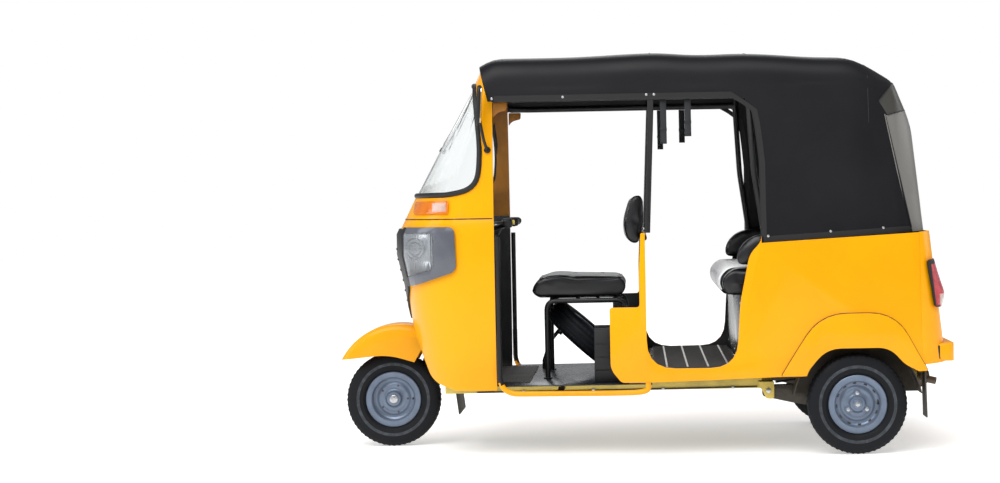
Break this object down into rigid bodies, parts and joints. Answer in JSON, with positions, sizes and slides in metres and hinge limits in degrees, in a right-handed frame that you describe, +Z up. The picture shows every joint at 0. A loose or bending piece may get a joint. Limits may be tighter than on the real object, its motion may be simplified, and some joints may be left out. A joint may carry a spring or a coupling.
{
  "type": "auto rickshaw",
  "caption": "Three-wheeled auto rickshaw with a steered front wheel, open doorways, cloth hood, rear bench, rear engine and a top-hinged engine door.",
  "frame": {"origin": "on the ground, half way along the vehicle and on its centre line", "axes": "+X forward along the vehicle, +Y to its left, +Z up"},
  "size_m": [2.635, 1.3, 1.718],
  "materials": {
    "body_paint": "gloss warm yellow enamel",
    "chassis_paint": "semi-gloss yellow frame paint, dulled",
    "floor_sheet": "satin grey painted sheet",
    "black_trim": "moulded black plastic",
    "black_frame": "satin black powder coat",
    "glass": "clear laminated glass",
    "lamp_housing": "moulded dark grey plastic",
    "lamp_lens": "clear lens",
    "amber_lens": "amber lens",
    "red_lens": "red lens",
    "hood_vinyl": "black coated vinyl cloth",
    "clear_vinyl": "clear soft window vinyl",
    "seat_vinyl": "black grained vinyl",
    "engine_metal": "cast metal block",
    "black_metal": "satin black painted steel",
    "shock_red": "red oxide painted spring and tube",
    "exhaust": "heat-dulled steel",
    "rubber": "moulded rubber",
    "tyre": "scuffed tyre rubber",
    "rim_paint": "silver-grey painted pressed steel",
    "webbing": "woven strap"
  },
  "bodies": {
    "body": {"chassis": "chassis_paint", "floor_pan": "floor_sheet", "lower_shield": "body_paint", "upper_shield": "body_paint", "windscreen": "glass", "front_mask": "black_trim", "headlamp_housings": "lamp_housing", "headlamp_lenses": "lamp_lens", "indicators": "amber_lens", "dashboard": "black_trim", "step_rails": "body_paint", "side_panel_left": "body_paint", "side_panel_right": "body_paint", "rear_panel": "body_paint", "wheel_flares": "body_paint", "wheel_housings": "black_trim", "bumper": "body_paint", "tail_lamps": "red_lens", "hood": "hood_vinyl", "rear_window": "clear_vinyl", "roof_frame": "black_frame", "driver_seat": "seat_vinyl", "driver_seat_frame": "black_metal", "driver_backrest": "seat_vinyl", "passenger_seat": "seat_vinyl", "passenger_backrest": "seat_vinyl", "armrests": "seat_vinyl", "seat_box": "floor_sheet", "engine": "engine_metal", "trailing_arms": "black_metal", "rear_shocks": "shock_red", "silencer": "exhaust", "mud_flaps": "rubber", "spare_wheel": "tyre", "battery_box": "black_trim", "mirrors": "black_trim", "wiper": "black_metal", "pedals": "black_metal", "grab_straps": "webbing"},
    "steering": {"handlebar": "black_trim", "steering_column": "black_metal", "leading_link": "black_metal", "front_shock": "shock_red", "front_mudguard": "body_paint"},
    "front_wheel": {"front_tyre": "tyre", "front_rim": "rim_paint"},
    "rear_wheel_left": {"rear_tyre_left": "tyre", "rear_rim_left": "rim_paint", "drive_shaft_left": "black_metal"},
    "rear_wheel_right": {"rear_tyre_right": "tyre", "rear_rim_right": "rim_paint", "drive_shaft_right": "black_metal"},
    "engine_door": {"engine_door": "body_paint"}
  },
  "joints": [
    {"name": "steering_turn", "type": "hinge", "parent": "body", "child": "steering", "pos_m": [0.85261, 0, 0.5346], "axis": [-0.454, 0, 0.891], "range_deg": [-40, 40]},
    {"name": "front_wheel_spin", "type": "hinge", "parent": "steering", "child": "front_wheel", "pos_m": [1.095, 0, 0.208], "axis": [0, 1, 0], "continuous": true},
    {"name": "rear_wheel_left_spin", "type": "hinge", "parent": "body", "child": "rear_wheel_left", "pos_m": [-0.905, 0.575, 0.208], "axis": [0, 1, 0], "continuous": true},
    {"name": "rear_wheel_right_spin", "type": "hinge", "parent": "body", "child": "rear_wheel_right", "pos_m": [-0.905, -0.575, 0.208], "axis": [0, 1, 0], "continuous": true},
    {"name": "engine_door_lift", "type": "hinge", "parent": "body", "child": "engine_door", "pos_m": [-1.24715, 0, 0.856], "axis": [0, 1, 0], "range_deg": [0, 75]}
  ]
}
